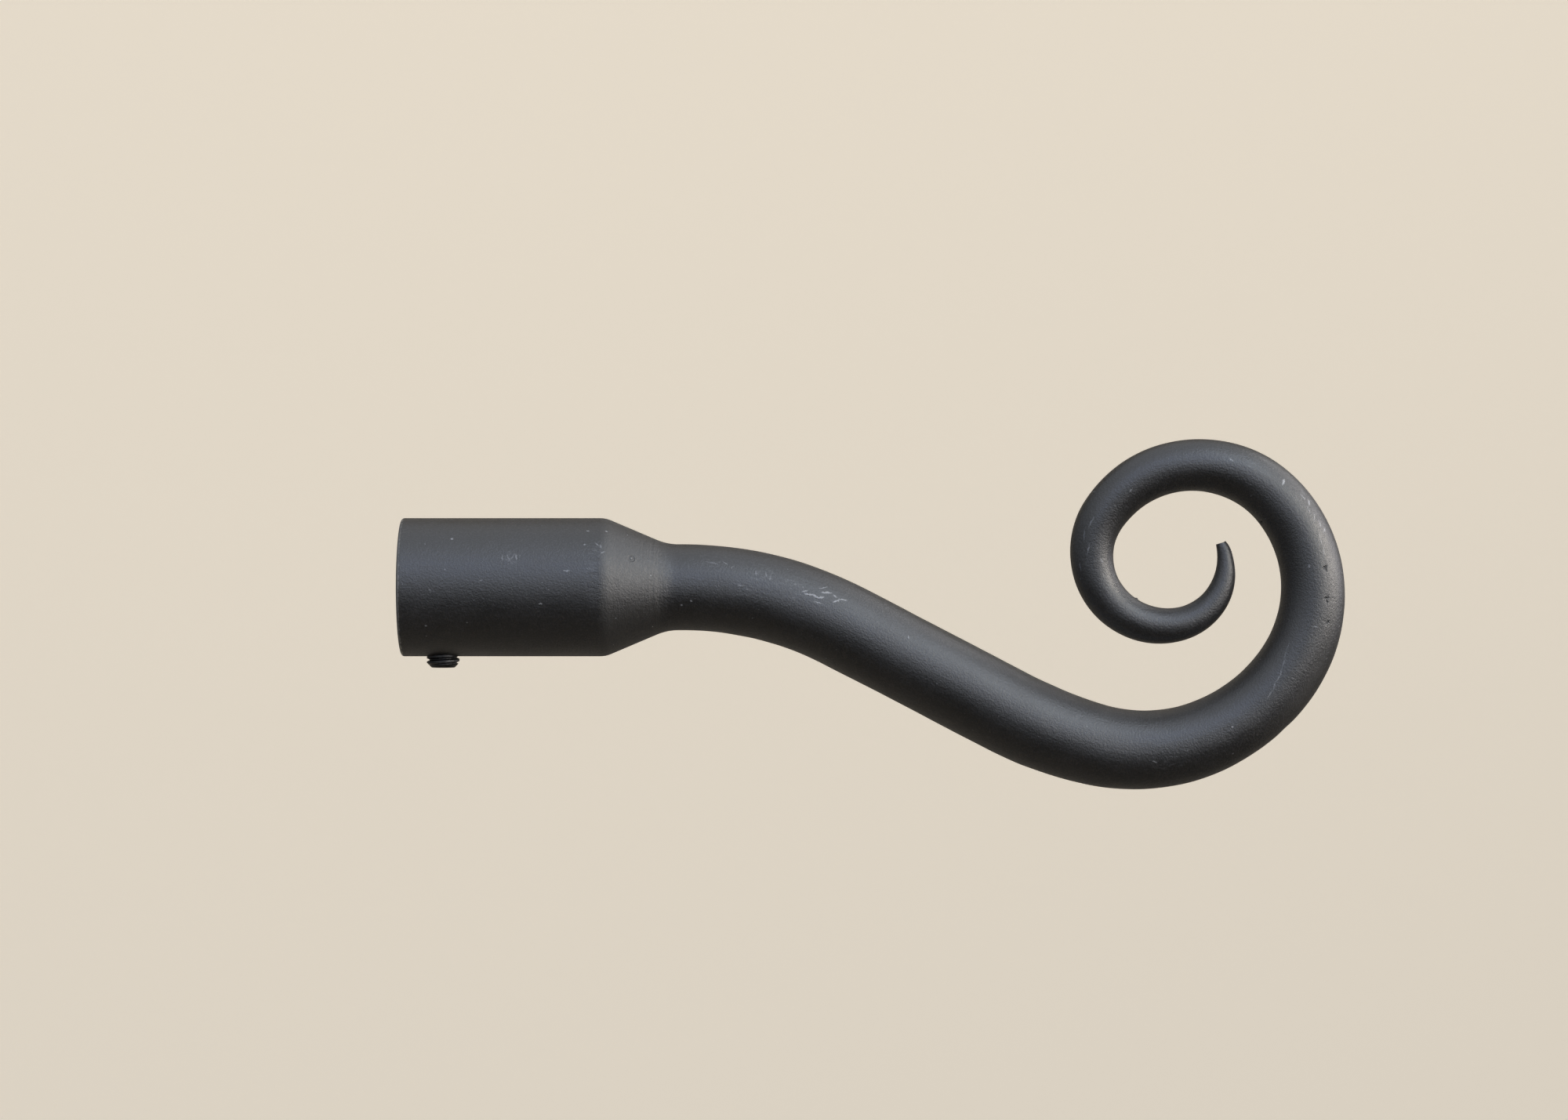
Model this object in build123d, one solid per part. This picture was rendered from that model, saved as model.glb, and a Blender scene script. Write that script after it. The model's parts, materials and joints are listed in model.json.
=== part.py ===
from build123d import *
from math import ceil, radians, sqrt, tan
import os

# A blacksmith's shepherd's-crook finial for a round curtain pole, in millimetres.
# The origin is the centre of the bore's mouth. +X runs along the pole towards the crook, +Z is up.

# Pole socket: a turned collar that slides over the end of the pole
pole_diameter = 16.0
pole_clearance = 0.25
bore_depth = 35.0
drill_point_angle = 118.0
mouth_chamfer = 0.4

# Outside of the collar, with the cone that runs down to the bar
collar_diameter = 25.4
collar_length = 37.4
rim_rounding = 0.5
cone_slope = 23.0
shoulder_rounding = 5.0
neck_fillet = 10.0
neck_land = 2.8

# Crook: one round bar, bent down at the neck and then up and round, tighter and tighter, to its tip.
# Each bend has its centre line's radius and its angle in degrees.
bar_diameter = 15.8
neck_bend_radius = 65.0
neck_bend_angle = 27.5
shank_length = 33.6
foot_bend_radius = 74.0
foot_bend_angle = 13.0
heel_bend_radius = 33.0
heel_bend_angle = 75.5
back_bend_radius = 25.0
back_bend_angle = 67.0
crown_bend_radius = 20.5
crown_bend_angle = 107.5
curl_bend_radius = 13.2
curl_bend_angle = 139.0
tip_bend_radius = 10.8
tip_bend_angle = 99.0

# Taper of the bar: full size up to taper_start along the crook, then even, with a rounded nose that is cut off
taper_start = 70.5
nose_diameter = 5.4
nose_length = 30.0
nose_cut_off = 1.5
section_spacing = 3.5

# Grub screw in the collar's underside, M6 with a cup point, and the tapped hole that it runs in
screw_diameter = 6.0
screw_length = 6.0
screw_position = 7.55
thread_clearance = 0.05
cup_standoff = 0.5
screw_end_chamfer = 0.6
cup_diameter = 3.0
cup_angle = 118.0
socket_across_flats = 3.0
socket_depth = 3.0

bore_radius = pole_diameter / 2 + pole_clearance
collar_radius = collar_diameter / 2
bar_radius = bar_diameter / 2
cone_end = collar_length + (collar_radius - bar_radius) / tan(radians(cone_slope))
crook_start = cone_end + neck_land


def cone_height(radius, point_angle):
    """Height of a drilled or turned point with the given full angle."""
    return radius / tan(radians(point_angle / 2))


def collar():
    """Collar, blind bore and cone: one turned profile, from the open end to the bar."""
    drill_tip = bore_depth + cone_height(bore_radius, drill_point_angle)
    rim = Vector(0, 0, collar_radius)
    shoulder = Vector(collar_length, 0, collar_radius)
    neck = Vector(cone_end, 0, bar_radius)
    outline = Polyline(
        (0, 0, bore_radius + mouth_chamfer),
        rim,
        shoulder,
        neck,
        (crook_start, 0, bar_radius),
        (crook_start, 0, 0),
        (drill_tip, 0, 0),
        (bore_depth, 0, bore_radius),
        (mouth_chamfer, 0, bore_radius),
        close=True,
    )
    profile = make_face(outline)
    for corner, size in ((rim, rim_rounding), (shoulder, shoulder_rounding), (neck, neck_fillet)):
        profile = fillet(profile.vertices().sort_by_distance(corner)[0], size)
    return revolve(profile, Axis.X)


def crook_line():
    """Centre line of the bar: down at the neck, straight along the shank, then round the scroll."""
    neck = JernArc((crook_start, 0), (1, 0), neck_bend_radius, -neck_bend_angle)
    shank = Line(neck @ 1, neck @ 1 + shank_length * (neck % 1))
    pieces = [neck, shank]
    for radius, turn in (
        (foot_bend_radius, foot_bend_angle),
        (heel_bend_radius, heel_bend_angle),
        (back_bend_radius, back_bend_angle),
        (crown_bend_radius, crown_bend_angle),
        (curl_bend_radius, curl_bend_angle),
        (tip_bend_radius, tip_bend_angle),
    ):
        pieces.append(JernArc(pieces[-1] @ 1, pieces[-1] % 1, radius, turn))
    return Plane.XZ * Wire([edge for piece in pieces for edge in piece.edges()])


def crook_radius(distance, length):
    """Radius of the bar at a distance along a crook of the given length."""
    drawn = max(0, distance - taper_start) / (length - taper_start)
    taper = bar_radius - (bar_radius - nose_diameter / 2) * drawn
    into_nose = min(1, (length + nose_cut_off - distance) / nose_length)
    return taper * sqrt(1 - (1 - into_nose) ** 2)


def crook_distances(length):
    """Where the sections stand: evenly along the bar, and closer and closer towards the cut tip."""
    nose_start = length + nose_cut_off - nose_length
    even = ceil(nose_start / section_spacing)
    distances = [nose_start * step / even for step in range(even)]
    close = ceil(nose_length / section_spacing)
    last = sqrt(nose_cut_off / nose_length)
    for step in range(close + 1):
        share = 1 - (1 - last) * step / close
        distances.append(length + nose_cut_off - nose_length * share**2)
    return distances


def crook():
    """The tapered bar, as round sections square to its centre line."""
    line = crook_line()
    sections = []
    for distance in crook_distances(line.length):
        place = distance / line.length
        square = Plane(line @ place, x_dir=(0, 1, 0), z_dir=line % place)
        sections.append(square * Circle(crook_radius(distance, line.length)))
    return loft(sections)


def screw_hole():
    """Tapped hole through the collar's lower wall, as a plain cylinder just over the thread."""
    hole = Circle(screw_diameter / 2 + thread_clearance)
    return Pos(screw_position, 0, -bore_radius / 2) * extrude(hole, -collar_radius)


def crook_finial():
    """Collar and crook, welded and dressed into one."""
    return collar() + crook() - screw_hole()


def grub_screw():
    """Headless screw, socket end down: it stands clear of the bore, so that the pole can slide in."""
    radius = screw_diameter / 2
    end_radius = radius - screw_end_chamfer
    cup_radius = cup_diameter / 2
    outline = Polyline(
        (0, 0, 0),
        (end_radius, 0, 0),
        (radius, 0, screw_end_chamfer),
        (radius, 0, screw_length - (radius - cup_radius)),
        (cup_radius, 0, screw_length),
        (0, 0, screw_length - cone_height(cup_radius, cup_angle)),
        close=True,
    )
    blank = revolve(make_face(outline), Axis.Z)
    socket = extrude(RegularPolygon(socket_across_flats / 2, 6, major_radius=False), socket_depth)
    outer_end = bore_radius + cup_standoff + screw_length
    return Pos(screw_position, 0, -outer_end) * (blank - socket)


os.makedirs("parts", exist_ok=True)
export_step(crook_finial(), "parts/crook_finial.step")
export_step(grub_screw(), "parts/grub_screw.step")
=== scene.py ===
import json
from math import ceil, cos, exp, pi, radians, sin, sqrt, tan

import bpy
from mathutils import Matrix, Vector, kdtree, noise


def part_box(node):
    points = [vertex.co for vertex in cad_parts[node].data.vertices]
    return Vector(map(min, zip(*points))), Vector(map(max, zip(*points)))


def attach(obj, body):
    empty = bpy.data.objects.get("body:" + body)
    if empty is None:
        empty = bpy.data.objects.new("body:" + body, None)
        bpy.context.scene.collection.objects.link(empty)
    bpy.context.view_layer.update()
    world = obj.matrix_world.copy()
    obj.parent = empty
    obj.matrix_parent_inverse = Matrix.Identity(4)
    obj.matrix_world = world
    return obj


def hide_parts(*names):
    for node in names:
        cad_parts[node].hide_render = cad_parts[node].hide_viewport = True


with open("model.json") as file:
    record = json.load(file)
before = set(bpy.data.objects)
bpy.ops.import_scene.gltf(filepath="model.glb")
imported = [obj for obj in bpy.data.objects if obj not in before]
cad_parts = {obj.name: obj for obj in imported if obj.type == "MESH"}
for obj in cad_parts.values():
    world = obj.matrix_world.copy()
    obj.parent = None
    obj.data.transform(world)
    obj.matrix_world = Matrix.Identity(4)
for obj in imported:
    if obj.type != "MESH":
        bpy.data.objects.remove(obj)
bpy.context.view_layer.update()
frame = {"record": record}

MM = 0.001

# The collar is a short length of round steel bar, turned, bored to slide over the end of the pole, and ground
# down in a cone to the size of the crook. Its outline is one turned line, from the bottom of the bore out
# round the rim and along to the neck.
BORE = frame["record"]["mounts"][0]["dims"]
BORE_RADIUS = BORE["r_mm"] * MM
COLLAR_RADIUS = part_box("crook_finial")[1][1]
COLLAR_LENGTH = 37.4 * MM
MOUTH_CHAMFER = 0.4 * MM
RIM_ROUNDING = 0.5 * MM
DRILL_POINT = radians(118)
CONE_SLOPE = radians(23)
SHOULDER_ROUNDING = 5.0 * MM
NECK_FILLET = 10.0 * MM
NECK_LAND = 2.8 * MM
BAR_RADIUS = 7.9 * MM
BORE_FLOOR = MOUTH_CHAMFER + BORE["length_mm"] * MM
CONE_END = COLLAR_LENGTH + (COLLAR_RADIUS - BAR_RADIUS) / tan(CONE_SLOPE)
CROOK_START = CONE_END + NECK_LAND
BORE_STEP = 1.5 * MM
MOUTH_STEP = MOUTH_CHAMFER / 2
RIM_STEP = RIM_ROUNDING / 6
OUTSIDE_STEP = 0.45 * MM


def stretch(start, end, step):
    """Evenly spaced points from start up to, but not including, end."""
    count = max(1, ceil((end - start).length / step))
    return [start.lerp(end, i / count) for i in range(count)]


def rounded_corner(before, corner, after, rounding, step):
    """Points round the arc that touches both lines at a corner."""
    into = (corner - before).normalized()
    out = (after - corner).normalized()
    turn = into.angle(out)
    setback = rounding * tan(turn / 2)
    first = corner - into * setback
    centre = corner + (out - into).normalized() * (rounding / cos(turn / 2))
    side = 1 if into.cross(out) > 0 else -1
    count = max(6, ceil(rounding * turn / step))
    arm = first - centre
    return [centre + turned(arm, side * turn * i / count) for i in range(count + 1)]


def turned(arm, angle):
    """A flat vector turned about its root."""
    return Vector((arm.x * cos(angle) - arm.y * sin(angle), arm.x * sin(angle) + arm.y * cos(angle)))


def collar_outline():
    """(distance from the mouth, radius) of each ring: inside, from the drill point out, and outside, from the
    mouth to the neck."""
    drill_tip = Vector((BORE_FLOOR + BORE_RADIUS / tan(DRILL_POINT / 2), 0.0))
    floor = Vector((BORE_FLOOR, BORE_RADIUS))
    mouth = Vector((MOUTH_CHAMFER, BORE_RADIUS))
    lip = Vector((0.0, BORE_RADIUS + MOUTH_CHAMFER))
    rim = Vector((0.0, COLLAR_RADIUS))
    shoulder = Vector((COLLAR_LENGTH, COLLAR_RADIUS))
    neck = Vector((CONE_END, BAR_RADIUS))
    end = Vector((CROOK_START, BAR_RADIUS))
    rim_arc = rounded_corner(lip, rim, shoulder, RIM_ROUNDING, RIM_STEP)
    shoulder_arc = rounded_corner(rim, shoulder, neck, SHOULDER_ROUNDING, OUTSIDE_STEP)
    neck_arc = rounded_corner(shoulder, neck, end, NECK_FILLET, OUTSIDE_STEP)
    inside = (
        stretch(drill_tip, floor, BORE_STEP)
        + stretch(floor, mouth, BORE_STEP)
        + stretch(mouth, lip, MOUTH_STEP)
    )
    outside = (
        stretch(lip, rim_arc[0], OUTSIDE_STEP)
        + rim_arc[:-1]
        + stretch(rim_arc[-1], shoulder_arc[0], OUTSIDE_STEP)
        + shoulder_arc[:-1]
        + stretch(shoulder_arc[-1], neck_arc[0], OUTSIDE_STEP)
        + neck_arc[:-1]
        + stretch(neck_arc[-1], end, OUTSIDE_STEP)
    )
    return inside, outside


# The crook is one round bar, drawn down hot to a small tip and bent: down at the neck, straight along the
# shank, then up and over into a scroll that tightens. The hammer leaves it a little out of round, and its tip
# is cut off roughly with a chisel.
NECK_BEND = (65.0 * MM, radians(-27.5))
SHANK = 33.6 * MM
SCROLL_BENDS = (
    (74.0 * MM, radians(13)),
    (33.0 * MM, radians(75.5)),
    (25.0 * MM, radians(67)),
    (20.5 * MM, radians(107.5)),
    (13.2 * MM, radians(139)),
    (10.8 * MM, radians(99)),
)
TAPER_START = 70.5 * MM
NOSE_RADIUS = 2.7 * MM
NOSE_LENGTH = 30.0 * MM
NOSE_CUT_OFF = 1.5 * MM
HAMMER_DEPTH = 0.08 * MM
HAMMER_SPAN = 15.0 * MM
HAMMER_ROUND = 0.9
HAMMER_FADE = 12 * MM
RIPPLE_DEPTH = 0.03 * MM
RIPPLE_SPAN = 4.5 * MM
RIPPLE_ROUND = 1.7
RIPPLE_START = 40.0
TIP_RUN = 4 * MM
TIP_RINGS = 16
TIP_SHAPED = 1.6 * MM
TIP_HORN = 0.14 * MM
TIP_SLOPE = 0.12 * MM
TIP_HOLLOW = 0.28 * MM


def crook_runs():
    """Each run of the bar as (length, turn)."""
    bends = [(radius * abs(turn), turn) for radius, turn in SCROLL_BENDS]
    radius, turn = NECK_BEND
    return [(radius * abs(turn), turn), (SHANK, 0.0)] + bends


CROOK_LENGTH = sum(length for length, turn in crook_runs())


def bar_centre(distance):
    """Centre and heading of the bar at a distance past the neck."""
    centre = Vector((CROOK_START, 0.0, 0.0))
    heading = 0.0
    for length, turn in crook_runs():
        walked = min(distance, length)
        turned_by = turn * walked / length
        chord = walked if turn == 0 else 2 * length / turn * sin(turned_by / 2)
        middle = heading + turned_by / 2
        centre += chord * Vector((cos(middle), 0.0, sin(middle)))
        heading += turned_by
        distance -= walked
        if distance <= 0:
            break
    return centre, heading


def bar_radius(distance):
    """Radius of the bar before the hammer marks: full at first, then drawn down evenly to a rounded nose."""
    drawn = max(0.0, distance - TAPER_START) / (CROOK_LENGTH - TAPER_START)
    taper = BAR_RADIUS - (BAR_RADIUS - NOSE_RADIUS) * drawn
    into_nose = min(1.0, (CROOK_LENGTH + NOSE_CUT_OFF - distance) / NOSE_LENGTH)
    return taper * sqrt(1 - (1 - into_nose) ** 2)


# The weld between collar and crook is dressed smooth, so the two are one piece from here on. Places on it are
# given as the distance along the finial from the mouth, and the angle round it from the front, positive
# towards the outside of the curl, which is the underside of the collar.
ROUND = 112
ANGLES = [2 * pi * i / ROUND for i in range(ROUND)]
DENTS = (
    # distance along, angle round, half width, depth; a negative depth is a blob of scale
    (166.0, 90, 1.1, 0.20),
    (193.2, 20, 0.6, 0.06),
    (188.0, 18, 0.6, 0.05),
    (184.1, 25, 0.6, 0.05),
    (206.6, -72, 0.6, 0.25),
    (265.8, -84, 0.32, -0.26),
    (42.4, -30, 0.45, -0.10),
    (294.2, 90, 1.7, -0.50),
    # broad flats where the hammer closed the scroll
    (128.0, 84, 9.0, 0.08),
    (141.5, 90, 9.0, 0.12),
    (160.0, 78, 7.0, 0.10),
    (189.2, 90, 9.0, 0.12),
    (208.0, 80, 6.0, 0.10),
    (224.4, 90, 7.0, 0.12),
    (252.0, 85, 5.0, 0.10),
)


def on_the_bar(along, angle, radius):
    """A place in the straightened bar: along it, out to the front, and out to the outside of the curl."""
    return Vector((along, radius * cos(angle), radius * sin(angle)))


def worked(along, angle, radius):
    """How far the hammer, the file and knocks move the surface in (minus) or out from its turned radius."""
    crook_share = min(1.0, max(0.0, (along - CONE_END) / HAMMER_FADE))
    round_the_bar = Vector((0.0, cos(angle), sin(angle)))
    blows = noise.noise(Vector((along / HAMMER_SPAN, 0.0, 0.0)) + HAMMER_ROUND * round_the_bar)
    ripple_place = Vector((along / RIPPLE_SPAN + RIPPLE_START, 0.0, 0.0))
    ripple = noise.noise(ripple_place + RIPPLE_ROUND * round_the_bar)
    moved = crook_share * (HAMMER_DEPTH * blows + RIPPLE_DEPTH * ripple)
    for dent_along, dent_angle, half_width, depth in DENTS:
        if abs(along - dent_along * MM) > 3 * half_width * MM:
            continue
        place = on_the_bar(dent_along * MM, radians(dent_angle), radius)
        away = (on_the_bar(along, angle, radius) - place).length / (half_width * MM)
        moved -= depth * MM * exp(-away * away)
    return moved


class Skin:
    """Rings of points joined into one closed skin, each point with its place on the straightened bar."""

    def __init__(self):
        self.points = []
        self.places = []
        self.faces = []
        self.last = None

    def ring(self, along, centre, heading, radii, lifts=(0.0,) * ROUND):
        """A ring square to the bar, or lifted ahead of square at each angle, joined to the one before."""
        ahead = Vector((cos(heading), 0.0, sin(heading)))
        front = Vector((0.0, -1.0, 0.0))
        outside = Vector((sin(heading), 0.0, -cos(heading)))
        first = len(self.points)
        for angle, radius, lift in zip(ANGLES, radii, lifts):
            arm = radius * (cos(angle) * front + sin(angle) * outside)
            self.points.append(centre + arm + lift * ahead)
            self.places.append(on_the_bar(along, angle, radius))
        if self.last is not None:
            for i in range(ROUND):
                j = (i + 1) % ROUND
                self.faces.append((self.last + i, self.last + j, first + j, first + i))
        self.last = first

    def point(self, along, centre, closes_ring):
        """A single point that closes the skin at its end, on the last ring, or else at its start."""
        self.points.append(centre)
        self.places.append(on_the_bar(along, 0.0, 0.0))
        tip = len(self.points) - 1
        for i in range(ROUND):
            j = (i + 1) % ROUND
            a, b = closes_ring + i, closes_ring + j
            self.faces.append((a, b, tip) if closes_ring == self.last else (b, a, tip))

    def mesh(self, name):
        """The skin as a mesh."""
        made = bpy.data.meshes.new(name)
        made.from_pydata(self.points, [], self.faces)
        made.update()
        return made


def tip_edge(angle):
    """How far the chiselled end stands ahead of a square cut: a small horn outside, and a slope to it."""
    return TIP_HORN * max(0.0, sin(angle)) ** 6 - TIP_SLOPE * sin(angle)


def worked_radii(along, radius, share=1.0):
    """The turned radius moved by a share of the hammer's, the file's and the knocks' depth, at each angle."""
    return [radius + worked(along, angle, radius) * share for angle in ANGLES]


def add_collar(skin, inside, outside):
    """Rings out of the bore, as bored, and then round the rim, along the collar and down the cone."""
    for along, radius in inside[1:]:
        skin.ring(along, Vector((along, 0.0, 0.0)), 0.0, [radius] * ROUND)
    for along, radius in outside:
        skin.ring(along, Vector((along, 0.0, 0.0)), 0.0, worked_radii(along, radius))


def add_crook(skin):
    """Rings along the bar, closer together near the tip, where they lean into the shape of its cut end."""
    evenly = CROOK_LENGTH - TIP_RUN
    steps = ceil(evenly / OUTSIDE_STEP)
    distances = [evenly * i / steps for i in range(steps)]
    distances += [CROOK_LENGTH - TIP_RUN * (1 - i / TIP_RINGS) for i in range(TIP_RINGS + 1)]
    for distance in distances:
        centre, heading = bar_centre(distance)
        radius = bar_radius(distance)
        along = CROOK_START + distance
        radii = worked_radii(along, radius, min(1.0, radius / NOSE_RADIUS))
        share = max(0.0, 1 - (CROOK_LENGTH - distance) / TIP_SHAPED)
        skin.ring(along, centre, heading, radii, [share * share * tip_edge(angle) for angle in ANGLES])


def add_tip(skin):
    """The face of the cut end, a little hollow."""
    centre, heading = bar_centre(CROOK_LENGTH)
    ahead = Vector((cos(heading), 0.0, sin(heading)))
    along = CROOK_START + CROOK_LENGTH
    tip_radius = bar_radius(CROOK_LENGTH)
    for share in (0.8, 0.55, 0.3):
        hollow = TIP_HOLLOW * (1 - share)
        lifts = [share**3 * tip_edge(angle) for angle in ANGLES]
        skin.ring(along, centre - hollow * ahead, heading, [tip_radius * share] * ROUND, lifts)
    skin.point(along, centre - TIP_HOLLOW * ahead, skin.last)


def finial_skin():
    """The whole finial's skin: out of the bore, round the rim, and along collar and crook to the tip."""
    skin = Skin()
    inside, outside = collar_outline()
    add_collar(skin, inside, outside)
    add_crook(skin)
    add_tip(skin)
    drill_tip = inside[0].x
    skin.point(drill_tip, Vector((drill_tip, 0.0, 0.0)), 0)
    return skin


def add_object(name, mesh):
    """A new object in the scene with the given mesh."""
    made = bpy.data.objects.new(name, mesh)
    bpy.context.scene.collection.objects.link(made)
    return made


def cut_with(piece, cutter):
    """Cuts one closed mesh out of another and removes the cutter."""
    cut = piece.modifiers.new("cut", "BOOLEAN")
    cut.object = cutter
    cut.operation = "DIFFERENCE"
    cut.solver = "EXACT"
    result = bpy.data.meshes.new_from_object(piece.evaluated_get(bpy.context.evaluated_depsgraph_get()))
    piece.modifiers.clear()
    old = piece.data
    piece.data = result
    bpy.data.meshes.remove(old)
    bpy.data.objects.remove(cutter)


SCREW_LOW, SCREW_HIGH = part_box("grub_screw")
SCREW_CENTRE = (SCREW_LOW + SCREW_HIGH) / 2
SCREW_RADIUS = (SCREW_HIGH.x - SCREW_LOW.x) / 2
THREAD_CLEARANCE = 0.05 * MM
HOLE_RADIUS = SCREW_RADIUS + THREAD_CLEARANCE
HOLE_OVERRUN = 2 * MM
HOLE_SIDES = 64


def screw_hole_cutter():
    """A round bar through the collar's lower wall, where the tapped hole is."""
    points, faces = [], []
    for height in (-COLLAR_RADIUS - HOLE_OVERRUN, -BORE_RADIUS / 2):
        for i in range(HOLE_SIDES):
            angle = 2 * pi * i / HOLE_SIDES
            points.append((SCREW_CENTRE.x + HOLE_RADIUS * cos(angle), HOLE_RADIUS * sin(angle), height))
    for i in range(HOLE_SIDES):
        j = (i + 1) % HOLE_SIDES
        faces.append((i, j, j + HOLE_SIDES, i + HOLE_SIDES))
    faces.append(tuple(reversed(range(HOLE_SIDES))))
    faces.append(tuple(range(HOLE_SIDES, 2 * HOLE_SIDES)))
    cutter = bpy.data.meshes.new("screw_hole_cutter")
    cutter.from_pydata(points, [], faces)
    return add_object("screw_hole_cutter", cutter)


def write_places(mesh, skin):
    """Gives each point of the mesh its place on the straightened bar, also where the hole was cut."""
    tree = kdtree.KDTree(len(skin.points))
    for i, point in enumerate(skin.points):
        tree.insert(point, i)
    tree.balance()
    places = mesh.attributes.new("place_on_bar", "FLOAT_VECTOR", "POINT")
    for vertex, place in zip(mesh.vertices, places.data):
        if vertex.co.x < CROOK_START:
            place.vector = (vertex.co.x, -vertex.co.y, -vertex.co.z)
        else:
            place.vector = skin.places[tree.find(vertex.co)[1]]


def finish_mesh(mesh, sharp_angle):
    """Smooth shading with sharp edges kept."""
    mesh.shade_smooth()
    mesh.set_sharp_from_angle(angle=sharp_angle)


skin = finial_skin()
finial = add_object("crook_finial_steel", skin.mesh("crook_finial_steel"))
cut_with(finial, screw_hole_cutter())
write_places(finial.data, skin)
finish_mesh(finial.data, radians(38))


class Shop:
    """Short calls for adding shader nodes to one material or world."""

    def __init__(self, made):
        made.use_nodes = True
        self.made = made
        self.nodes = made.node_tree.nodes
        self.links = made.node_tree.links
        self.shader = self.nodes.get("Principled BSDF") or self.nodes["Background"]

    def add(self, kind, inputs, output=0, **settings):
        """A node with its inputs set or joined; returns the named or numbered output."""
        node = self.nodes.new("ShaderNode" + kind)
        for name, value in settings.items():
            setattr(node, name, value)
        for name, value in inputs.items():
            if isinstance(value, bpy.types.NodeSocket):
                self.links.new(value, node.inputs[name])
            else:
                node.inputs[name].default_value = value
        return node.outputs[output]

    def sums(self, operation, a, b=0.0, c=0.0, clamp=False):
        """One sum on up to three values."""
        return self.add("Math", {0: a, 1: b, 2: c}, operation=operation, use_clamp=clamp)

    def band(self, value, low, high, to_low=0.0, to_high=1.0):
        """A smooth step of a value from one level to another."""
        inputs = {"Value": value, "From Min": low, "From Max": high, "To Min": to_low, "To Max": to_high}
        return self.add("MapRange", inputs, interpolation_type="SMOOTHSTEP")

    def grain(self, place, scale, detail, roughness, stretch_by=(1, 1, 1)):
        """Noise in the metal, with this many grains a millimetre."""
        pulled = self.add("VectorMath", {0: place, 1: stretch_by}, operation="MULTIPLY")
        inputs = {"Vector": pulled, "Scale": scale, "Detail": detail, "Roughness": roughness}
        return self.add("TexNoise", inputs)

    def dab(self, place, middle, half_widths, turn=(0, 0, 0)):
        """1 at a place on the bar, falling to 0 at the given half widths round it, in millimetres."""
        inputs = {"Vector": place, "Location": tuple(middle), "Rotation": tuple(turn), "Scale": half_widths}
        pulled = self.add("Mapping", inputs, vector_type="TEXTURE")
        return self.add("TexGradient", {"Vector": pulled}, "Fac", gradient_type="SPHERICAL")

    def blend(self, share, first, second):
        """Colour between two others."""
        return self.add("Mix", {"Factor": share, 6: first, 7: second}, 2, data_type="RGBA")


BLACK = (0.0030, 0.0030, 0.0040, 1)
BLACK_LIGHT = (0.0460, 0.0460, 0.0510, 1)
GROUND = (0.0240, 0.0226, 0.0213, 1)
# Pale of bare rubbed steel, also used for a painted highlight on the spatter's middle.
RUBBED_AND_GLINT = (0.84, 0.86, 0.90, 1)
# Pale rim: partly worn bare steel, partly a painted highlight along the edge.
WORN_RIM_AND_HIGHLIGHT = (0.62, 0.60, 0.56, 1)
BORED = (0.085, 0.080, 0.076, 1)
# Painted shade, in the pits and in the ring round the spatter's foot.
PAINTED_SHADE_BLACK = (0.001, 0.001, 0.001, 1)
BLACK_IOR = 2.4
BLACK_ROUGHNESS = (0.41, 0.47)

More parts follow.
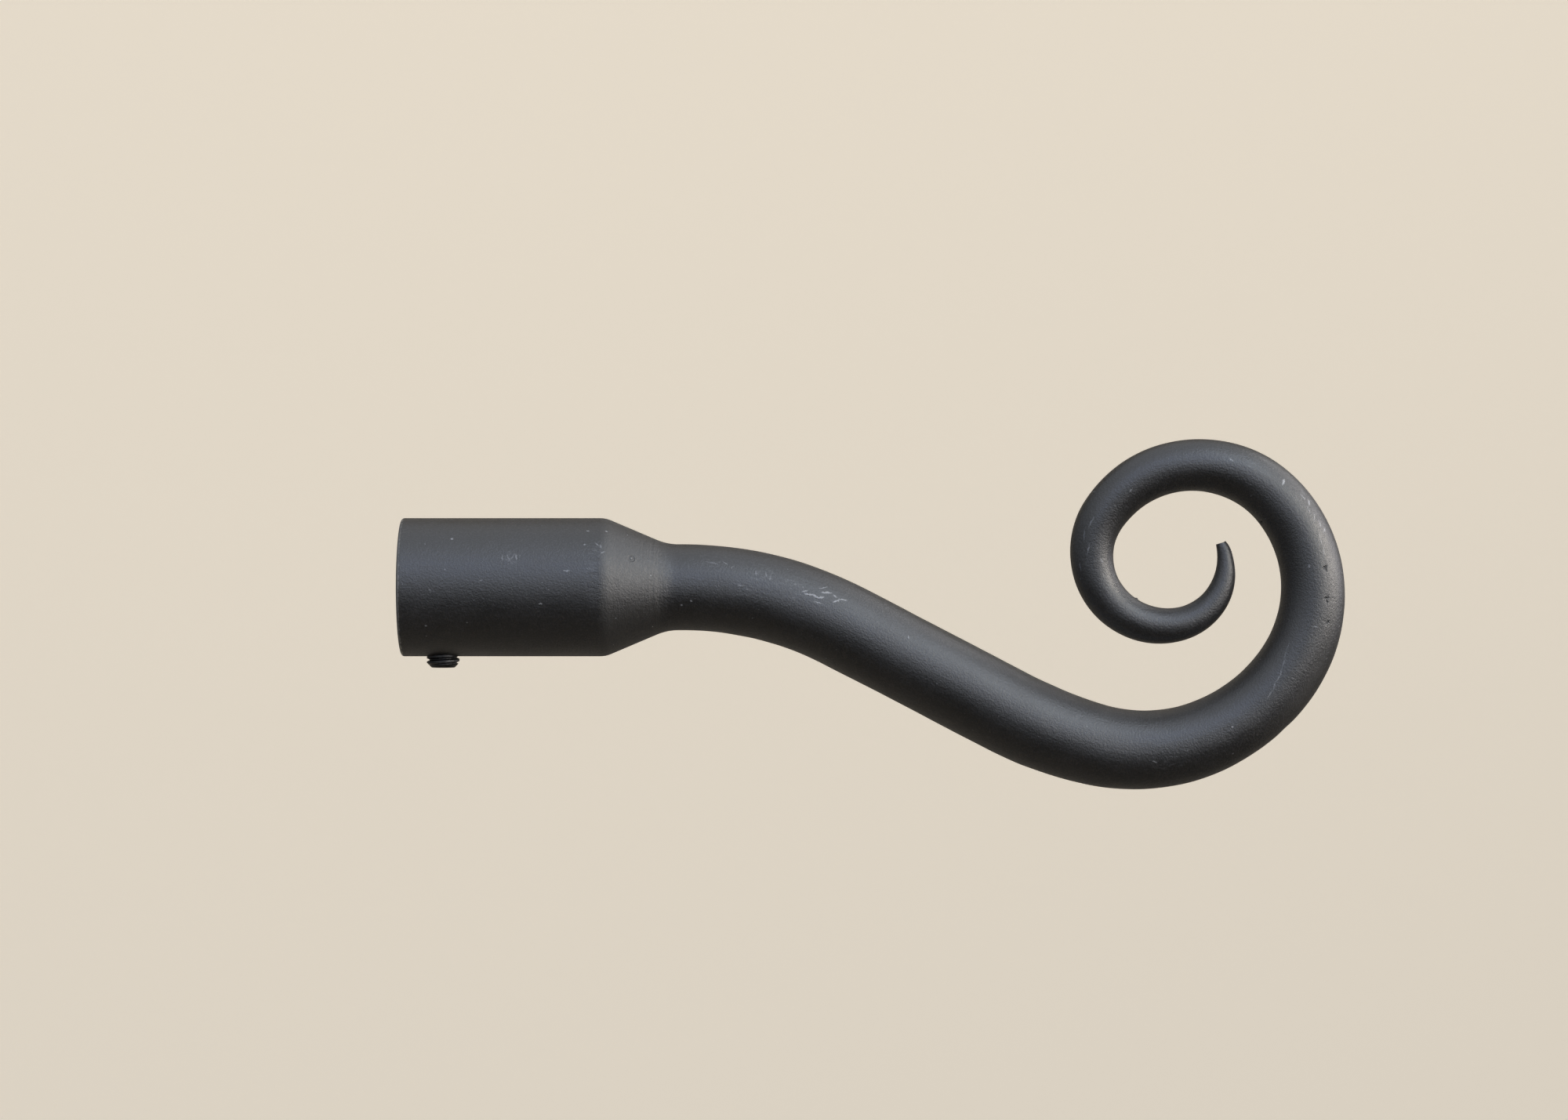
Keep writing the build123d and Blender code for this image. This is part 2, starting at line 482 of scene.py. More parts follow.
# Places and sizes of the marks are in millimetres and degrees.
# Where the black is knocked or rubbed off: place along, place round, half length, half width, slant, how much
MARKS = (
    (5.3, 33, 0.25, 0.22, 0, 0.5),
    (6.2, 2, 0.5, 0.16, 45, 0.4),
    (9.9, -44, 0.34, 0.32, 0, 1.0),
    (15.4, -6, 0.5, 0.16, -20, 0.4),
    (19.2, -25, 0.8, 0.2, 85, 0.35),
    (20.3, -25, 0.9, 0.2, 62, 0.3),
    (21.0, -26, 0.9, 0.2, -60, 0.3),
    (21.7, -26, 0.9, 0.2, 85, 0.4),
    (26.1, 13, 0.4, 0.22, 0, 0.85),
    (30.8, -14, 0.8, 0.18, 0, 0.6),
    (34.0, -38, 0.3, 0.2, 0, 0.6),
    (34.4, -54, 0.3, 0.2, 0, 0.8),
    (36.3, -38, 0.7, 0.18, 40, 0.4),
    (36.9, -36, 0.6, 0.16, 80, 0.5),
    (37.2, -30, 0.6, 0.2, -30, 0.45),
    (37.8, -55, 0.3, 0.2, 0, 0.8),
    (51.5, 24, 0.28, 0.2, 0, 0.5),
    (53.3, 18, 0.28, 0.22, 0, 0.6),
    (57.2, -36, 0.9, 0.14, 20, 0.3),
    (58.9, -38, 0.8, 0.14, 35, 0.35),
    (60.2, -33, 0.5, 0.16, -50, 0.3),
    (62.0, -9, 0.5, 0.16, 10, 0.4),
    (63.4, -6, 0.5, 0.14, -20, 0.35),
    (64.3, -30, 0.6, 0.16, 75, 0.35),
    (66.0, -32, 0.6, 0.16, 65, 0.4),
    (66.9, -27, 0.7, 0.16, 80, 0.35),
    (73.2, -23, 0.7, 0.2, -35, 0.7),
    (74.1, -21, 1.0, 0.24, -12, 0.95),
    (75.3, -22, 1.1, 0.22, 8, 0.85),
    (76.3, -23, 0.7, 0.24, -40, 0.95),
    (76.0, -38, 1.0, 0.16, -40, 0.5),
    (76.2, -15, 1.3, 0.16, -5, 0.5),
    (76.9, -33, 1.2, 0.22, -24, 0.95),
    (78.4, -33, 0.6, 0.2, 20, 0.7),
    (79.0, -27, 0.9, 0.2, -50, 0.75),
    (79.9, -33, 0.9, 0.2, -20, 0.75),
    (93.4, -28, 0.5, 0.16, 60, 0.6),
    (143.6, 15, 0.6, 0.18, 30, 0.45),
    (158.7, -1, 0.3, 0.26, 0, 0.6),
    (167.8, -5, 1.2, 0.16, -12, 0.3),
    (169.6, -9, 1.2, 0.16, -28, 0.35),
    (171.2, -12, 1.0, 0.18, -6, 0.4),
    (172.4, -14, 0.8, 0.2, -32, 0.5),
    (174.3, -20, 1.2, 0.16, -14, 0.35),
    (175.9, -25, 1.2, 0.16, -24, 0.3),
    (177.6, -28, 0.9, 0.14, -8, 0.25),
    (182.9, 5, 0.5, 0.22, 80, 0.4),
    (194.1, -10, 0.3, 0.22, 0, 0.65),
    (196.0, 24, 1.3, 0.18, 24, 0.28),
    (198.0, 26, 1.2, 0.18, 8, 0.28),
    (199.2, 44, 0.8, 0.26, 60, 0.45),
    (200.4, 40, 0.9, 0.2, 20, 0.4),
    (201.8, 35, 1.0, 0.2, 35, 0.35),
    (203.2, 33, 0.9, 0.18, 5, 0.3),
    (204.2, 45, 0.8, 0.28, 50, 0.5),
    (205.5, 42, 0.8, 0.24, -10, 0.4),
    (209.4, 31, 0.8, 0.26, 75, 1.0),
    (218.8, 19, 0.55, 0.18, 30, 0.6),
    (238.1, -7, 0.4, 0.2, 0, 0.45),
    (242.5, 68, 0.6, 0.2, 80, 0.4),
    (246.8, 22, 1.3, 0.16, 8, 0.4),
    (249.2, 30, 1.4, 0.16, -6, 0.4),
    (251.4, 13, 1.1, 0.18, 10, 0.45),
    (254.2, 40, 0.8, 0.18, 0, 0.5),
    (253.7, -23, 0.8, 0.2, -30, 0.45),
)
# Patches of fine rubbing: place along, place round, half width, how much
SCUFFS = (
    (20.3, -25, 2.6, 0.40),
    (56.5, -38, 3.0, 0.30),
    (62.5, -8, 3.0, 0.28),
    (65.8, -28, 3.4, 0.35),
    (71.0, -20, 3.4, 0.40),
    (146.0, 18, 4.0, 0.20),
    (184.0, 6, 3.2, 0.25),
    (204.0, 44, 3.4, 0.40),
    (215.0, 30, 4.0, 0.20),
    (252.0, 12, 3.0, 0.30),
)
# Pits left by scale, darkened with painted shade: place along, place round, half length, half width, slant
PITS = (
    (184.1, 25, 0.5, 0.20, 35),
    (187.5, 19, 0.4, 0.18, -20),
    (188.2, 17, 0.7, 0.22, 70),
    (193.0, 21, 0.5, 0.20, 10),
    (193.4, 19, 0.8, 0.24, 65),
    (206.6, -72, 0.8, 0.4, 80),
)
# A drop of spatter on the cone, and the filed patch at the shoulder: place along, place round
SPATTER = (42.4, -30)
SPATTER_HALF_WIDTHS = (0.9, 0.9, 0.9)
FILED = (36.4, -12)
FILED_HALF_WIDTHS = (3.0, 8.0, 8.0)
FILE_SLANT = radians(-14)
FILE_STROKE = (1.8, 1.0, 0.35)
# How deep a mark reaches into the skin, and how much its strength counts at its middle
MARK_REACH = 1.5
MARK_GAIN = 2.0
# Heights and depths of the fine relief; the grinder's marks deepen towards the neck
FINE_RELIEF = 0.070
NAP_RELIEF = 0.035
NAP_ADDED_ON_CONE = 0.015
DRAWN_RELIEF = 0.030
BORED_RELIEF = 0.06
GROUND_RELIEF = (0.025, 0.12)
FILED_DEPTH = 0.022
PIT_DEPTH = 0.16
RING_DEPTH = 0.10


def turned_radius(along):
    """Radius of the finial before any knocks, by the distance from the mouth, all in millimetres."""
    if along * MM < COLLAR_LENGTH:
        return COLLAR_RADIUS / MM
    if along * MM < CONE_END:
        share = (along * MM - COLLAR_LENGTH) / (CONE_END - COLLAR_LENGTH)
        return (COLLAR_RADIUS + share * (BAR_RADIUS - COLLAR_RADIUS)) / MM
    return bar_radius(max(0.0, along * MM - CROOK_START)) / MM


def on_the_skin(along, angle):
    """A place on the outside of the straightened bar, at millimetres along it and degrees round it."""
    return on_the_bar(along, radians(angle), turned_radius(along))


def slanted(angle, slant):
    """Turn for a mark that lies flat on the skin at these degrees round, slanted from the bar's length."""
    round_the_bar = Matrix.Rotation(radians(angle), 3, "X")
    return (round_the_bar @ Matrix.Rotation(-radians(slant), 3, "Y")).to_euler()


def oval(shop, place, along, angle, half_length, half_width, slant):
    """1 at the middle of an oval mark on the skin, falling to 0 at its edge."""
    half_widths = (half_length, MARK_REACH, half_width)
    return shop.dab(place, on_the_skin(along, angle), half_widths, slanted(angle, slant))


def rubbed_off(shop, place, ragged, nap):
    """How far the black is gone: single knocks, patches of fine rubbing and stray specks."""
    rubbed = 0.0
    for along, angle, half_length, half_width, slant, strength in MARKS:
        mark = oval(shop, ragged, along, angle, half_length, half_width, slant)
        rubbed = shop.sums("MULTIPLY_ADD", mark, MARK_GAIN * strength, rubbed)
    patches = 0.0
    for along, angle, size, strength in SCUFFS:
        patch = shop.dab(place, on_the_skin(along, angle), (size, size, size))
        patches = shop.sums("MULTIPLY_ADD", patch, strength, patches)
    hairs = shop.band(shop.grain(place, 2.4, 3.0, 0.7, (0.3, 1, 1)), 0.52, 0.70)
    rubbed = shop.sums("MULTIPLY_ADD", patches, hairs, rubbed)
    specks = shop.add("TexVoronoi", {"Vector": ragged, "Scale": 0.33}, "Distance")
    rubbed = shop.sums("MAXIMUM", rubbed, shop.band(specks, 0.02, 0.06, 0.5, 0.0))
    return shop.sums("MULTIPLY", rubbed, shop.band(nap, 0.25, 0.5, 0.5, 1.0), clamp=True)


def ground_cone_and_highlit_worn_rim(shop, place, along, radius):
    """Where the collar is past its shoulder, where the cone is ground, and the edge of the open end, worn and
    with a painted highlight.
    """
    edge = shop.grain(place, 0.8, 3.0, 0.65, (0.5, 1.6, 1.6))
    shoulder_edge = shop.sums("MULTIPLY_ADD", edge, 2.4, along)
    neck_edge = shop.sums("MULTIPLY_ADD", edge, 3.0, along)
    past_shoulder = shop.band(shoulder_edge, COLLAR_LENGTH / MM + 0.2, COLLAR_LENGTH / MM + 0.9)
    before_neck = shop.band(neck_edge, CONE_END / MM - 0.5, CONE_END / MM + 3.0, 1.0, 0.0)
    cone = shop.sums("MULTIPLY", past_shoulder, before_neck)
    at_the_end = shop.band(shop.sums("MULTIPLY_ADD", edge, 0.7, along), 0.65, 0.95, 1.0, 0.0)
    outermost = shop.band(radius, COLLAR_RADIUS / MM - 0.5, COLLAR_RADIUS / MM - 0.25)
    return past_shoulder, cone, shop.sums("MULTIPLY", at_the_end, outermost)


def filed_patch(shop, place, ragged, past_shoulder):
    """The file's strokes on the collar side of the shoulder: where they are bright, and where deep."""
    patch = shop.dab(place, on_the_skin(*FILED), FILED_HALF_WIDTHS)
    on_the_collar = shop.sums("SUBTRACT", 1.0, past_shoulder)
    patch = shop.sums("MULTIPLY", shop.band(patch, 0.0, 0.5), on_the_collar)
    pulled = {"Vector": ragged, "Rotation": (0, FILE_SLANT, 0), "Scale": FILE_STROKE}
    pulled = shop.add("Mapping", pulled, vector_type="TEXTURE")
    strokes = shop.add("TexNoise", {"Vector": pulled, "Scale": 1.0, "Detail": 2.0})
    bright = shop.sums("MULTIPLY", patch, shop.band(strokes, 0.54, 0.64, 0.0, 0.15))
    deep = shop.sums("MULTIPLY", patch, shop.band(strokes, 0.34, 0.45, 1.0, 0.0))
    return bright, deep


def pits_and_spatter(shop, place, ragged):
    """The pits, the drop of spatter, and the ring round its foot; the pits and the ring carry painted shade.
    """
    pits = 0.0
    for along, angle, half_length, half_width, slant in PITS:
        pit = oval(shop, ragged, along, angle, half_length, half_width, slant)
        pits = shop.sums("MAXIMUM", pit, pits)
    spatter = shop.dab(place, on_the_skin(*SPATTER), SPATTER_HALF_WIDTHS)
    inner = shop.band(spatter, 0.60, 0.75, 1.0, 0.0)
    return pits, spatter, shop.sums("MULTIPLY", shop.band(spatter, 0.15, 0.35), inner)


def bored_inside(shop, along, radius):
    """Where the bore is, and the rings that the boring tool leaves."""
    near_bore = shop.band(radius, BORE_RADIUS / MM + 0.05, BORE_RADIUS / MM + 0.45, 1.0, 0.0)
    before_crook = shop.band(along, COLLAR_LENGTH / MM + 3.0, CONE_END / MM - 5.0, 1.0, 0.0)
    spaced = shop.add("CombineXYZ", {"X": shop.sums("MULTIPLY", along, 2.6)})
    rings = shop.add("TexNoise", {"Vector": spaced, "Scale": 1.0, "Detail": 3.0})
    return shop.sums("MULTIPLY", near_bore, before_crook), rings


def satin_black_steel():
    """Thin satin black over drawn and ground steel: the cone shows the grinder's marks through it, and edges
    and knocks are rubbed back to grey. The rim's pale edge is partly a painted highlight, the spatter's pale
    middle is a painted highlight, and the pits and the ring round the spatter's foot are painted shade."""
    shop = Shop(bpy.data.materials.new("satin_black_on_steel"))
    metres = shop.add("Attribute", {}, "Vector", attribute_name="place_on_bar")
    place = shop.add("VectorMath", {0: metres, "Scale": 1 / MM}, operation="SCALE")
    along = shop.add("SeparateXYZ", {0: place}, "X")
    across = shop.add("VectorMath", {0: place, 1: (0.0, 1.0, 1.0)}, operation="MULTIPLY")
    radius = shop.add("VectorMath", {0: across}, "Value", operation="LENGTH")
    wobble = shop.add("TexNoise", {"Vector": place, "Scale": 2.6, "Detail": 2.0}, "Color")
    wobble = shop.add("VectorMath", {0: wobble, 1: (0.5, 0.5, 0.5)}, operation="SUBTRACT")
    ragged = shop.add("VectorMath", {0: wobble, 1: (0.5, 0.5, 0.5), 2: place}, operation="MULTIPLY_ADD")

    nap = shop.grain(place, 1.5, 3.0, 0.65)
    fine = shop.grain(place, 2.9, 2.0, 0.6)
    cloud = shop.grain(place, 0.09, 3.0, 0.55)
    drawn = shop.grain(place, 1.5, 4.0, 0.6, (0.08, 1, 1))
    ground = shop.grain(place, 1.3, 3.0, 0.6, (1, 0.12, 0.12))
    rubbed = rubbed_off(shop, place, ragged, nap)
    past_shoulder, cone, rim = ground_cone_and_highlit_worn_rim(shop, place, along, radius)
    filed_bright, filed_deep = filed_patch(shop, place, ragged, past_shoulder)
    pits, spatter, ring = pits_and_spatter(shop, place, ragged)
    bored, rings = bored_inside(shop, along, radius)

    light = shop.band(shop.sums("MULTIPLY_ADD", cloud, 0.3, fine), 0.56, 0.92)
    tone = shop.blend(light, BLACK, BLACK_LIGHT)
    tone = shop.blend(shop.sums("MULTIPLY", cone, 0.9), tone, GROUND)
    tone = shop.blend(shop.sums("MULTIPLY", bored, 0.85), tone, BORED)
    # The rim's pale band is partly wear and partly a painted highlight along the edge.
    tone = shop.blend(rim, tone, WORN_RIM_AND_HIGHLIGHT)
    tone = shop.blend(shop.sums("MAXIMUM", rubbed, filed_bright), tone, RUBBED_AND_GLINT)
    # Painted highlight: the middle of the spatter drop is paled as if its top caught the light.
    tone = shop.blend(shop.band(spatter, 0.70, 0.85, 0.0, 0.4), tone, RUBBED_AND_GLINT)
    # Painted shade: the pits and the ring round the spatter's foot are darkened.
    tone = shop.blend(shop.sums("MAXIMUM", shop.band(pits, 0.1, 0.5), ring), tone, PAINTED_SHADE_BLACK)
    shop.links.new(tone, shop.shader.inputs["Base Color"])

    roughness = shop.band(cloud, 0.3, 0.7, *BLACK_ROUGHNESS)
    roughness = shop.sums("MULTIPLY_ADD", shop.sums("SUBTRACT", drawn, 0.5), 0.14, roughness)
    roughness = shop.sums("MULTIPLY_ADD", shop.sums("SUBTRACT", nap, 0.5), 0.16, roughness)
    roughness = shop.sums("MULTIPLY_ADD", cone, 0.07, roughness)
    roughness = shop.sums("MULTIPLY_ADD", pits, 0.4, roughness)
    roughness = shop.sums("MULTIPLY_ADD", bored, -0.08, roughness)
    shop.links.new(roughness, shop.shader.inputs["Roughness"])
    shop.shader.inputs["IOR"].default_value = BLACK_IOR

    past_neck = shop.band(along, CONE_END / MM, CONE_END / MM + 3.0)
    nap_relief = shop.sums("MULTIPLY_ADD", cone, NAP_ADDED_ON_CONE, NAP_RELIEF)
    streaks = shop.band(along, CONE_END / MM - 7.0, CONE_END / MM - 1.0, *GROUND_RELIEF)
    height = shop.sums("MULTIPLY", fine, FINE_RELIEF)
    height = shop.sums("MULTIPLY_ADD", nap, nap_relief, height)
    height = shop.sums("MULTIPLY_ADD", shop.sums("MULTIPLY", drawn, past_neck), DRAWN_RELIEF, height)
    height = shop.sums("MULTIPLY_ADD", shop.sums("MULTIPLY", rings, bored), BORED_RELIEF, height)
    height = shop.sums("MULTIPLY_ADD", ground, shop.sums("MULTIPLY", cone, streaks), height)
    height = shop.sums("MULTIPLY_ADD", filed_deep, -FILED_DEPTH, height)
    height = shop.sums("MULTIPLY_ADD", pits, -PIT_DEPTH, height)
    height = shop.sums("MULTIPLY_ADD", ring, -RING_DEPTH, height)
    bump = shop.add("Bump", {"Height": height, "Distance": MM, "Strength": 1.0})
    shop.links.new(bump, shop.shader.inputs["Normal"])
    return shop.made


finial.data.materials.append(satin_black_steel())
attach(finial, "finial")
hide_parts("crook_finial")


# The grub screw is a stock M6 cup-point set screw in black oxide, run up from below through the collar's
# wall. Its socket end stands out underneath; the cup at its inner end bites on the pole.
THREAD_PITCH = 1.0 * MM
THREAD_DEPTH = 0.48 * MM
CREST_SHARE = 0.42
FLANK_SHARE = 0.44
THREAD_START = 0.4
THREAD_STEP = 0.05 * MM
END_CHAMFER = 0.9 * MM
END_FACE_SHARE = 0.93
END_ROUNDING = 0.015 * MM
CUP_RADIUS = 1.5 * MM
CUP_DEPTH = 0.9 * MM
CUP_LIP = 0.12 * MM
CUP_EDGE = 0.05 * MM
SOCKET_APOTHEM = 1.5 * MM
SOCKET_DEPTH = 3.0 * MM
SOCKET_POINT = 0.5 * MM
SOCKET_LEAD = 0.18 * MM
SOCKET_FLARE = 0.6 * SOCKET_LEAD
SCREW_ROUND = 96
SCREW_ANGLES = [2 * pi * i / SCREW_ROUND for i in range(SCREW_ROUND)]


def thread_radius(height, angle):
    """Radius of the threaded shank: flat crests and roots with sloping flanks, wound round the screw."""
    turns = height / THREAD_PITCH - angle / (2 * pi) - THREAD_START
    from_crest = 2 * abs(turns - round(turns))
    flank = min(1.0, max(0.0, (from_crest - CREST_SHARE) / FLANK_SHARE))
    return SCREW_RADIUS - THREAD_DEPTH * flank


def hexagon_radius(angle):
    """Distance from the axis to the flat of the hexagon socket."""
    return SOCKET_APOTHEM / cos((angle + pi / 6) % (pi / 3) - pi / 6)


def screw_rings():
    """(height above the socket end, radius at each angle) from the socket's bottom round to the cup."""
    length = SCREW_HIGH.z - SCREW_LOW.z
    end_radius = SCREW_RADIUS - END_CHAMFER
    hexagon = [hexagon_radius(angle) for angle in SCREW_ANGLES]
    rings = [
        (SOCKET_DEPTH, hexagon),
        (SOCKET_LEAD, hexagon),
        (0.0, [radius + SOCKET_FLARE for radius in hexagon]),
        (0.0, [end_radius * END_FACE_SHARE] * SCREW_ROUND),
        (END_ROUNDING, [end_radius] * SCREW_ROUND),
    ]
    rows = ceil(length / THREAD_STEP)
    for row in range(1, rows):
        height = length * row / rows
        cap = min(end_radius + height, CUP_RADIUS + CUP_LIP + (length - height))
        rings.append((height, [min(cap, thread_radius(height, angle)) for angle in SCREW_ANGLES]))
    rings.append((length, [CUP_RADIUS + CUP_EDGE] * SCREW_ROUND))
    rings.append((length, [CUP_RADIUS - CUP_EDGE] * SCREW_ROUND))
    rings.append((length - CUP_DEPTH * 0.5, [CUP_RADIUS * 0.5] * SCREW_ROUND))
    return rings


def screw_mesh():
    """The screw as one closed skin."""
    points, faces = [], []
    foot = Vector((SCREW_CENTRE.x, SCREW_CENTRE.y, SCREW_LOW.z))
    for height, radii in screw_rings():
        for angle, radius in zip(SCREW_ANGLES, radii):
            points.append(foot + Vector((radius * cos(angle), radius * sin(angle), height)))
    count = len(points) // SCREW_ROUND
    for ring in range(count - 1):
        a, b = ring * SCREW_ROUND, (ring + 1) * SCREW_ROUND
        for i in range(SCREW_ROUND):
            j = (i + 1) % SCREW_ROUND
            faces.append((a + i, a + j, b + j, b + i))
    points.append(foot + Vector((0.0, 0.0, SOCKET_DEPTH + SOCKET_POINT)))
    points.append(foot + Vector((0.0, 0.0, SCREW_HIGH.z - SCREW_LOW.z - CUP_DEPTH)))
    bottom, cup = len(points) - 2, len(points) - 1
    last = (count - 1) * SCREW_ROUND
    for i in range(SCREW_ROUND):
        j = (i + 1) % SCREW_ROUND
        faces.append((j, i, bottom))
        faces.append((last + i, last + j, cup))
    made = bpy.data.meshes.new("grub_screw_m6")
    made.from_pydata(points, [], faces)
    made.update()
    return made


OXIDE = (0.0042, 0.0040, 0.0040, 1)
OXIDE_WORN = (0.042, 0.040, 0.038, 1)
OXIDE_ROUGHNESS = (0.27, 0.42)
OXIDE_IOR = 1.83
OXIDE_RELIEF = 0.008


def black_oxide():
    """Oiled black oxide: darker and a little glossier than the collar, rubbed paler in patches."""
    shop = Shop(bpy.data.materials.new("black_oxide_screw"))
    metres = shop.add("TexCoord", {}, "Object")
    place = shop.add("VectorMath", {0: metres, "Scale": 1 / MM}, operation="SCALE")
    fine = shop.grain(place, 9.0, 3.0, 0.6)
    patches = shop.grain(place, 1.3, 3.0, 0.6)
    tone = shop.blend(shop.band(patches, 0.5, 0.75), OXIDE, OXIDE_WORN)
    shop.links.new(tone, shop.shader.inputs["Base Color"])
    shop.links.new(shop.band(patches, 0.3, 0.7, *OXIDE_ROUGHNESS), shop.shader.inputs["Roughness"])
    shop.shader.inputs["IOR"].default_value = OXIDE_IOR
    height = shop.sums("MULTIPLY", fine, OXIDE_RELIEF)
    bump = shop.add("Bump", {"Height": height, "Distance": MM, "Strength": 1.0})
    shop.links.new(bump, shop.shader.inputs["Normal"])
    return shop.made


screw = add_object("grub_screw_m6", screw_mesh())
finish_mesh(screw.data, radians(32))
screw.data.materials.append(black_oxide())
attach(screw, "clamp_screw")
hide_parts("grub_screw")


# Floor and backdrop: one pale sheet that sweeps up behind, far enough back to leave the finial clear all
# round.
SWEEP_PALE = (0.80, 0.73, 0.62, 1)
FLOOR_DROP = -1.10
SWEEP_FRONT = -2.6
SWEEP_BACK = 1.5
SWEEP_BEND = 0.6
SWEEP_BEND_STEPS = 24
SWEEP_TOP = 2.4
SWEEP_HALF_WIDTH = 3.0


def sweep_mesh():
    """The sheet's outline, along the floor, round the bend and up, drawn out sideways."""
    outline = [(SWEEP_FRONT, FLOOR_DROP)]
    for i in range(SWEEP_BEND_STEPS + 1):
        angle = pi / 2 * i / SWEEP_BEND_STEPS
        back = SWEEP_BACK - SWEEP_BEND + SWEEP_BEND * sin(angle)
        outline.append((back, FLOOR_DROP + SWEEP_BEND * (1 - cos(angle))))
    outline.append((SWEEP_BACK, SWEEP_TOP))
    points = [(side * SWEEP_HALF_WIDTH, y, z) for y, z in outline for side in (-1, 1)]
    faces = [(2 * i, 2 * i + 1, 2 * i + 3, 2 * i + 2) for i in range(len(outline) - 1)]
    made = bpy.data.meshes.new("pale_sweep")
    made.from_pydata(points, [], faces)
    made.shade_smooth()
    return made


sweep = add_object("pale_sweep", sweep_mesh())
# The sheet's glow: to the camera between two heights, with a little more at its top, and in the metal between
# its front and its back
GLOW_LOW = -0.95
GLOW_HIGH = -0.45
GLOW_SEEN_LOW = 0.77
GLOW_SEEN_HIGH = 0.70
GLOW_TOP_FROM = 0.5
GLOW_TOP_TO = 1.5
GLOW_ADDED_TOP = 0.10
GLOW_FRONT = 0.2
GLOW_BACK = 1.3
GLOW_MIRRORED_FRONT = 0.005
GLOW_MIRRORED_BACK = 0.09
PAPER_ROUGHNESS = 0.9


def pale_paper():
    """Matt paper. Most of it lies out of the lamps' reach, so a glow for the camera keeps all sides pale."""
    shop = Shop(bpy.data.materials.new("pale_paper"))
    shop.shader.inputs["Base Color"].default_value = SWEEP_PALE
    shop.shader.inputs["Roughness"].default_value = PAPER_ROUGHNESS
    position = shop.add("NewGeometry", {}, "Position")
    height = shop.add("SeparateXYZ", {0: position}, "Z")
    behind = shop.add("SeparateXYZ", {0: position}, "Y")
    seen = shop.band(height, GLOW_LOW, GLOW_HIGH, GLOW_SEEN_LOW, GLOW_SEEN_HIGH)
    seen = shop.sums("ADD", seen, shop.band(height, GLOW_TOP_FROM, GLOW_TOP_TO, 0.0, GLOW_ADDED_TOP))
    mirrored = shop.band(behind, GLOW_FRONT, GLOW_BACK, GLOW_MIRRORED_FRONT, GLOW_MIRRORED_BACK)
    glow = shop.sums("MULTIPLY", shop.add("LightPath", {}, "Is Camera Ray"), seen)
    for ray in ("Is Glossy Ray", "Is Transmission Ray"):
        glow = shop.sums("MULTIPLY_ADD", shop.add("LightPath", {}, ray), mirrored, glow)
    shop.shader.inputs["Emission Color"].default_value = SWEEP_PALE
    shop.links.new(glow, shop.shader.inputs["Emission Strength"])
    return shop.made


sweep.data.materials.append(pale_paper())


# Light: soft boxes in front and to the right, a faint one above and behind, a strip that washes the backdrop,
# and a pale sky that the metal mirrors. The room below is darker, so the finial's underside stays deep.
LAMPS = (
    # name, azimuth and height of its middle seen from the finial in degrees, width, height, watts, colour
    ("window_front", 0, 34, 1.6, 1.1, 0.33, (0.36, 0.52, 1.0)),
    ("right_front_high", 40, 50, 0.9, 0.8, 0.34, (0.78, 0.88, 1.0)),
    ("right_front", 40, 25, 0.9, 0.7, 0.18, (0.94, 1.0, 0.85)),
    ("right_front_low", 40, 4, 0.9, 0.5, 0.22, (1.0, 0.94, 0.95)),
    ("right", 75, 14, 1.0, 0.7, 1.12, (1.0, 0.92, 0.84)),
    ("right_rear", 110, 15, 0.9, 1.0, 0.42, (0.95, 0.92, 1.0)),
    ("right_rear_high", 118, 42, 0.9, 0.7, 0.36, (1.0, 0.97, 0.94)),
    ("overhead_rear", 180, 55, 1.4, 0.8, 0.11, (1.0, 0.92, 0.80)),
    ("right_low", 85, -28, 0.8, 0.5, 0.06, (1.0, 0.94, 0.85)),
)
LAMP_AIM = Vector((0.1, 0.0, 0.0))
LAMP_DISTANCE = 1.6
LAMP_SPREAD = radians(60)
WASH_PLACE = Vector((0.35, 0.5, 1.0))
WASH_HEADING = Vector((0.0, 0.80, -0.60))
WASH_SIZE = (3.0, 0.5)
WASH_WATTS = 4.0
WASH_COLOUR = (1.0, 0.95, 0.88)
WASH_SPREAD = radians(120)


def add_lamp(name, place, away, size, watts, colour, spread):
    """A soft rectangular lamp at a place, with its back turned away from what it lights."""
    lamp = bpy.data.lights.new(name, "AREA")
    lamp.shape = "RECTANGLE"
    lamp.size, lamp.size_y = size
    lamp.energy = watts
    lamp.color = colour
    lamp.spread = spread
    stand = add_object(name, lamp)
    stand.location = place
    stand.rotation_mode = "QUATERNION"
    stand.rotation_quaternion = away.to_track_quat("Z", "Y")
    stand.visible_camera = False


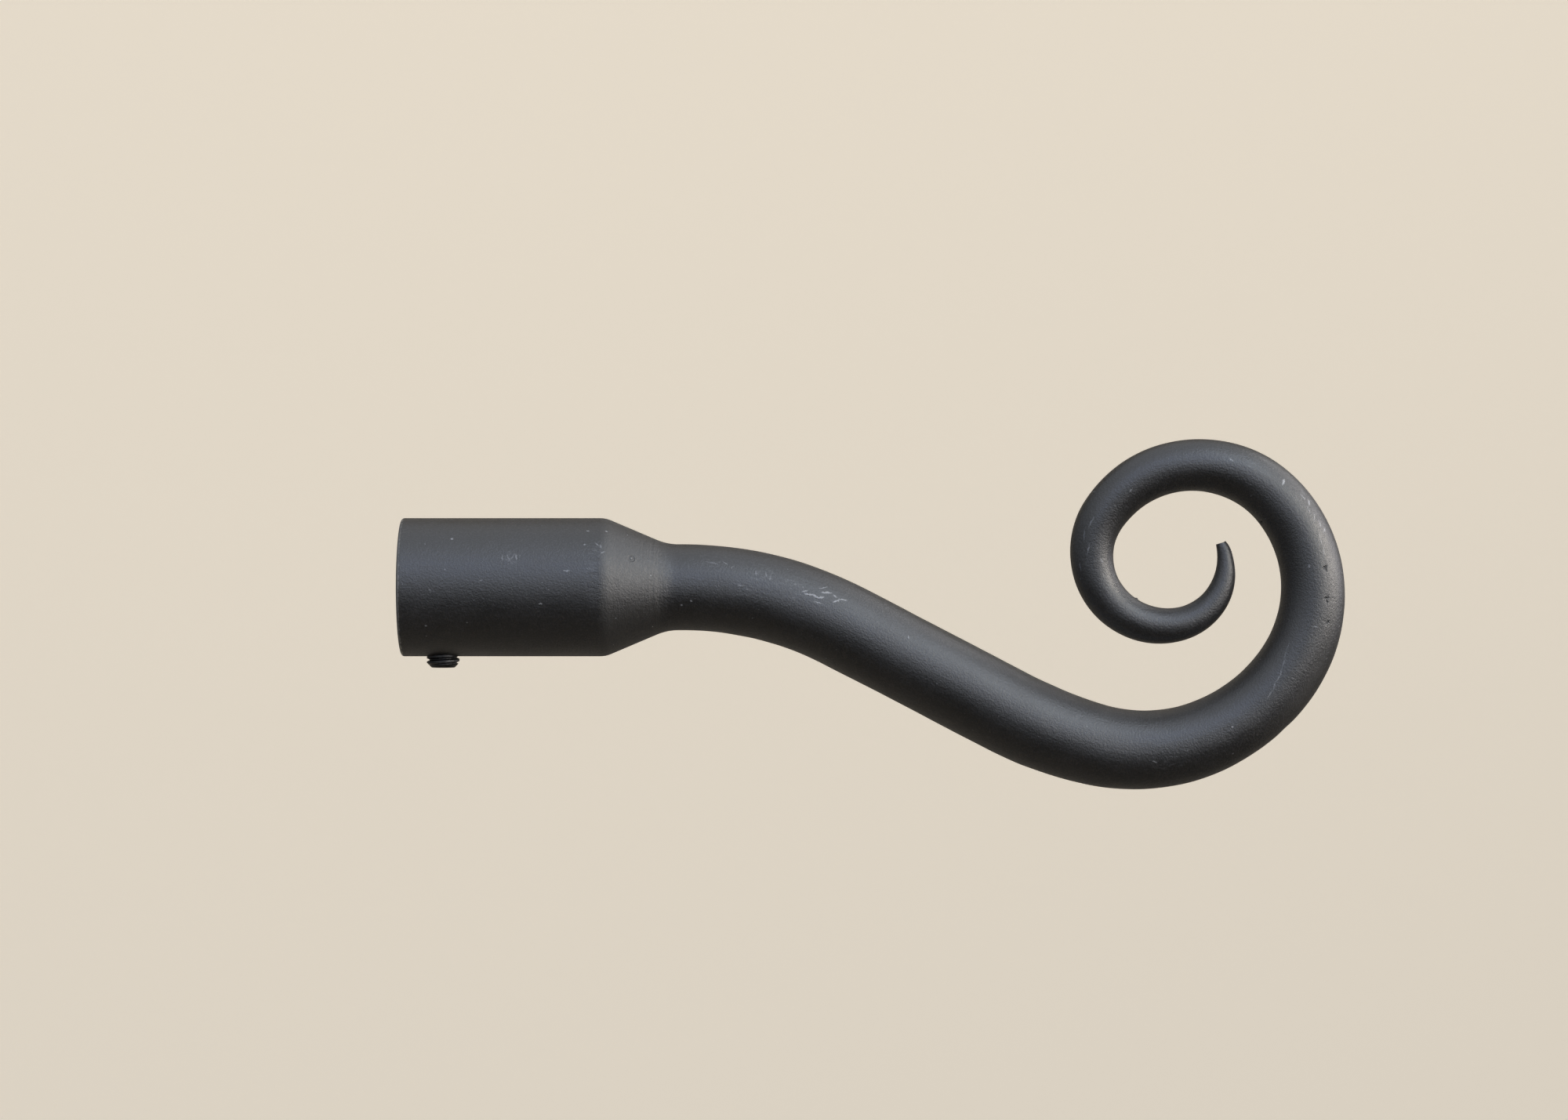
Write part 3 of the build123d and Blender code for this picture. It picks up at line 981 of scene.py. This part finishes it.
for name, azimuth, height, width, depth, watts, colour in LAMPS:
    a, e = radians(azimuth), radians(height)
    away = Vector((sin(a) * cos(e), -cos(a) * cos(e), sin(e)))
    add_lamp(name, LAMP_AIM + LAMP_DISTANCE * away, away, (width, depth), watts, colour, LAMP_SPREAD)
add_lamp("backdrop_wash", WASH_PLACE, -WASH_HEADING, WASH_SIZE, WASH_WATTS, WASH_COLOUR, WASH_SPREAD)

SKY = (0.93, 0.97, 1.03, 1)
SKY_LOW = -0.42
SKY_FULL = 0.30
SKY_LEFT = 0.45
SKY_LEFT_FROM = -0.4
SKY_MIRRORED = 0.51
ROOM_BELOW = 0.019
ROOM_FILL = 0.01
BEYOND_THE_SHEET = 0.80


def sky_world():
    """What lies beyond the sheet: plain pale to the camera, and in the metal a pale sky above a dim room. It
    gives next to no light."""
    shop = Shop(bpy.data.worlds.new("pale_sky"))
    heading = shop.add("TexCoord", {}, "Generated")
    rise = shop.band(shop.add("SeparateXYZ", {0: heading}, "Z"), SKY_LOW, SKY_FULL, ROOM_BELOW, SKY_MIRRORED)
    across = shop.band(shop.add("SeparateXYZ", {0: heading}, "X"), -1.0, SKY_LEFT_FROM, SKY_LEFT, 1.0)
    seen = shop.add("LightPath", {}, "Is Camera Ray")
    mirrored = [shop.add("LightPath", {}, ray) for ray in ("Is Glossy Ray", "Is Transmission Ray")]
    share = shop.sums("MAXIMUM", mirrored[0], mirrored[1])
    strength = shop.add("Mix", {"Factor": share, 2: ROOM_FILL, 3: shop.sums("MULTIPLY", rise, across)})
    strength = shop.add("Mix", {"Factor": seen, 2: strength, 3: BEYOND_THE_SHEET})
    shop.links.new(shop.blend(seen, SKY, SWEEP_PALE), shop.shader.inputs["Color"])
    shop.links.new(strength, shop.shader.inputs["Strength"])
    return shop.made


bpy.context.scene.world = sky_world()


# Camera: level, square to the plane of the crook, at about arm's length.
CAMERA_PLACE = (0.0701, -0.750, 0.0050)
CAMERA_LENS = 93.82
SENSOR_WIDTH = 36.0

camera = bpy.data.cameras.new("camera")
camera.lens = CAMERA_LENS
camera.sensor_width = SENSOR_WIDTH
camera_stand = add_object("camera", camera)
camera_stand.location = CAMERA_PLACE
camera_stand.rotation_euler = (pi / 2, 0, 0)
bpy.context.scene.camera = camera_stand
bpy.context.scene.view_settings.view_transform = "Standard"
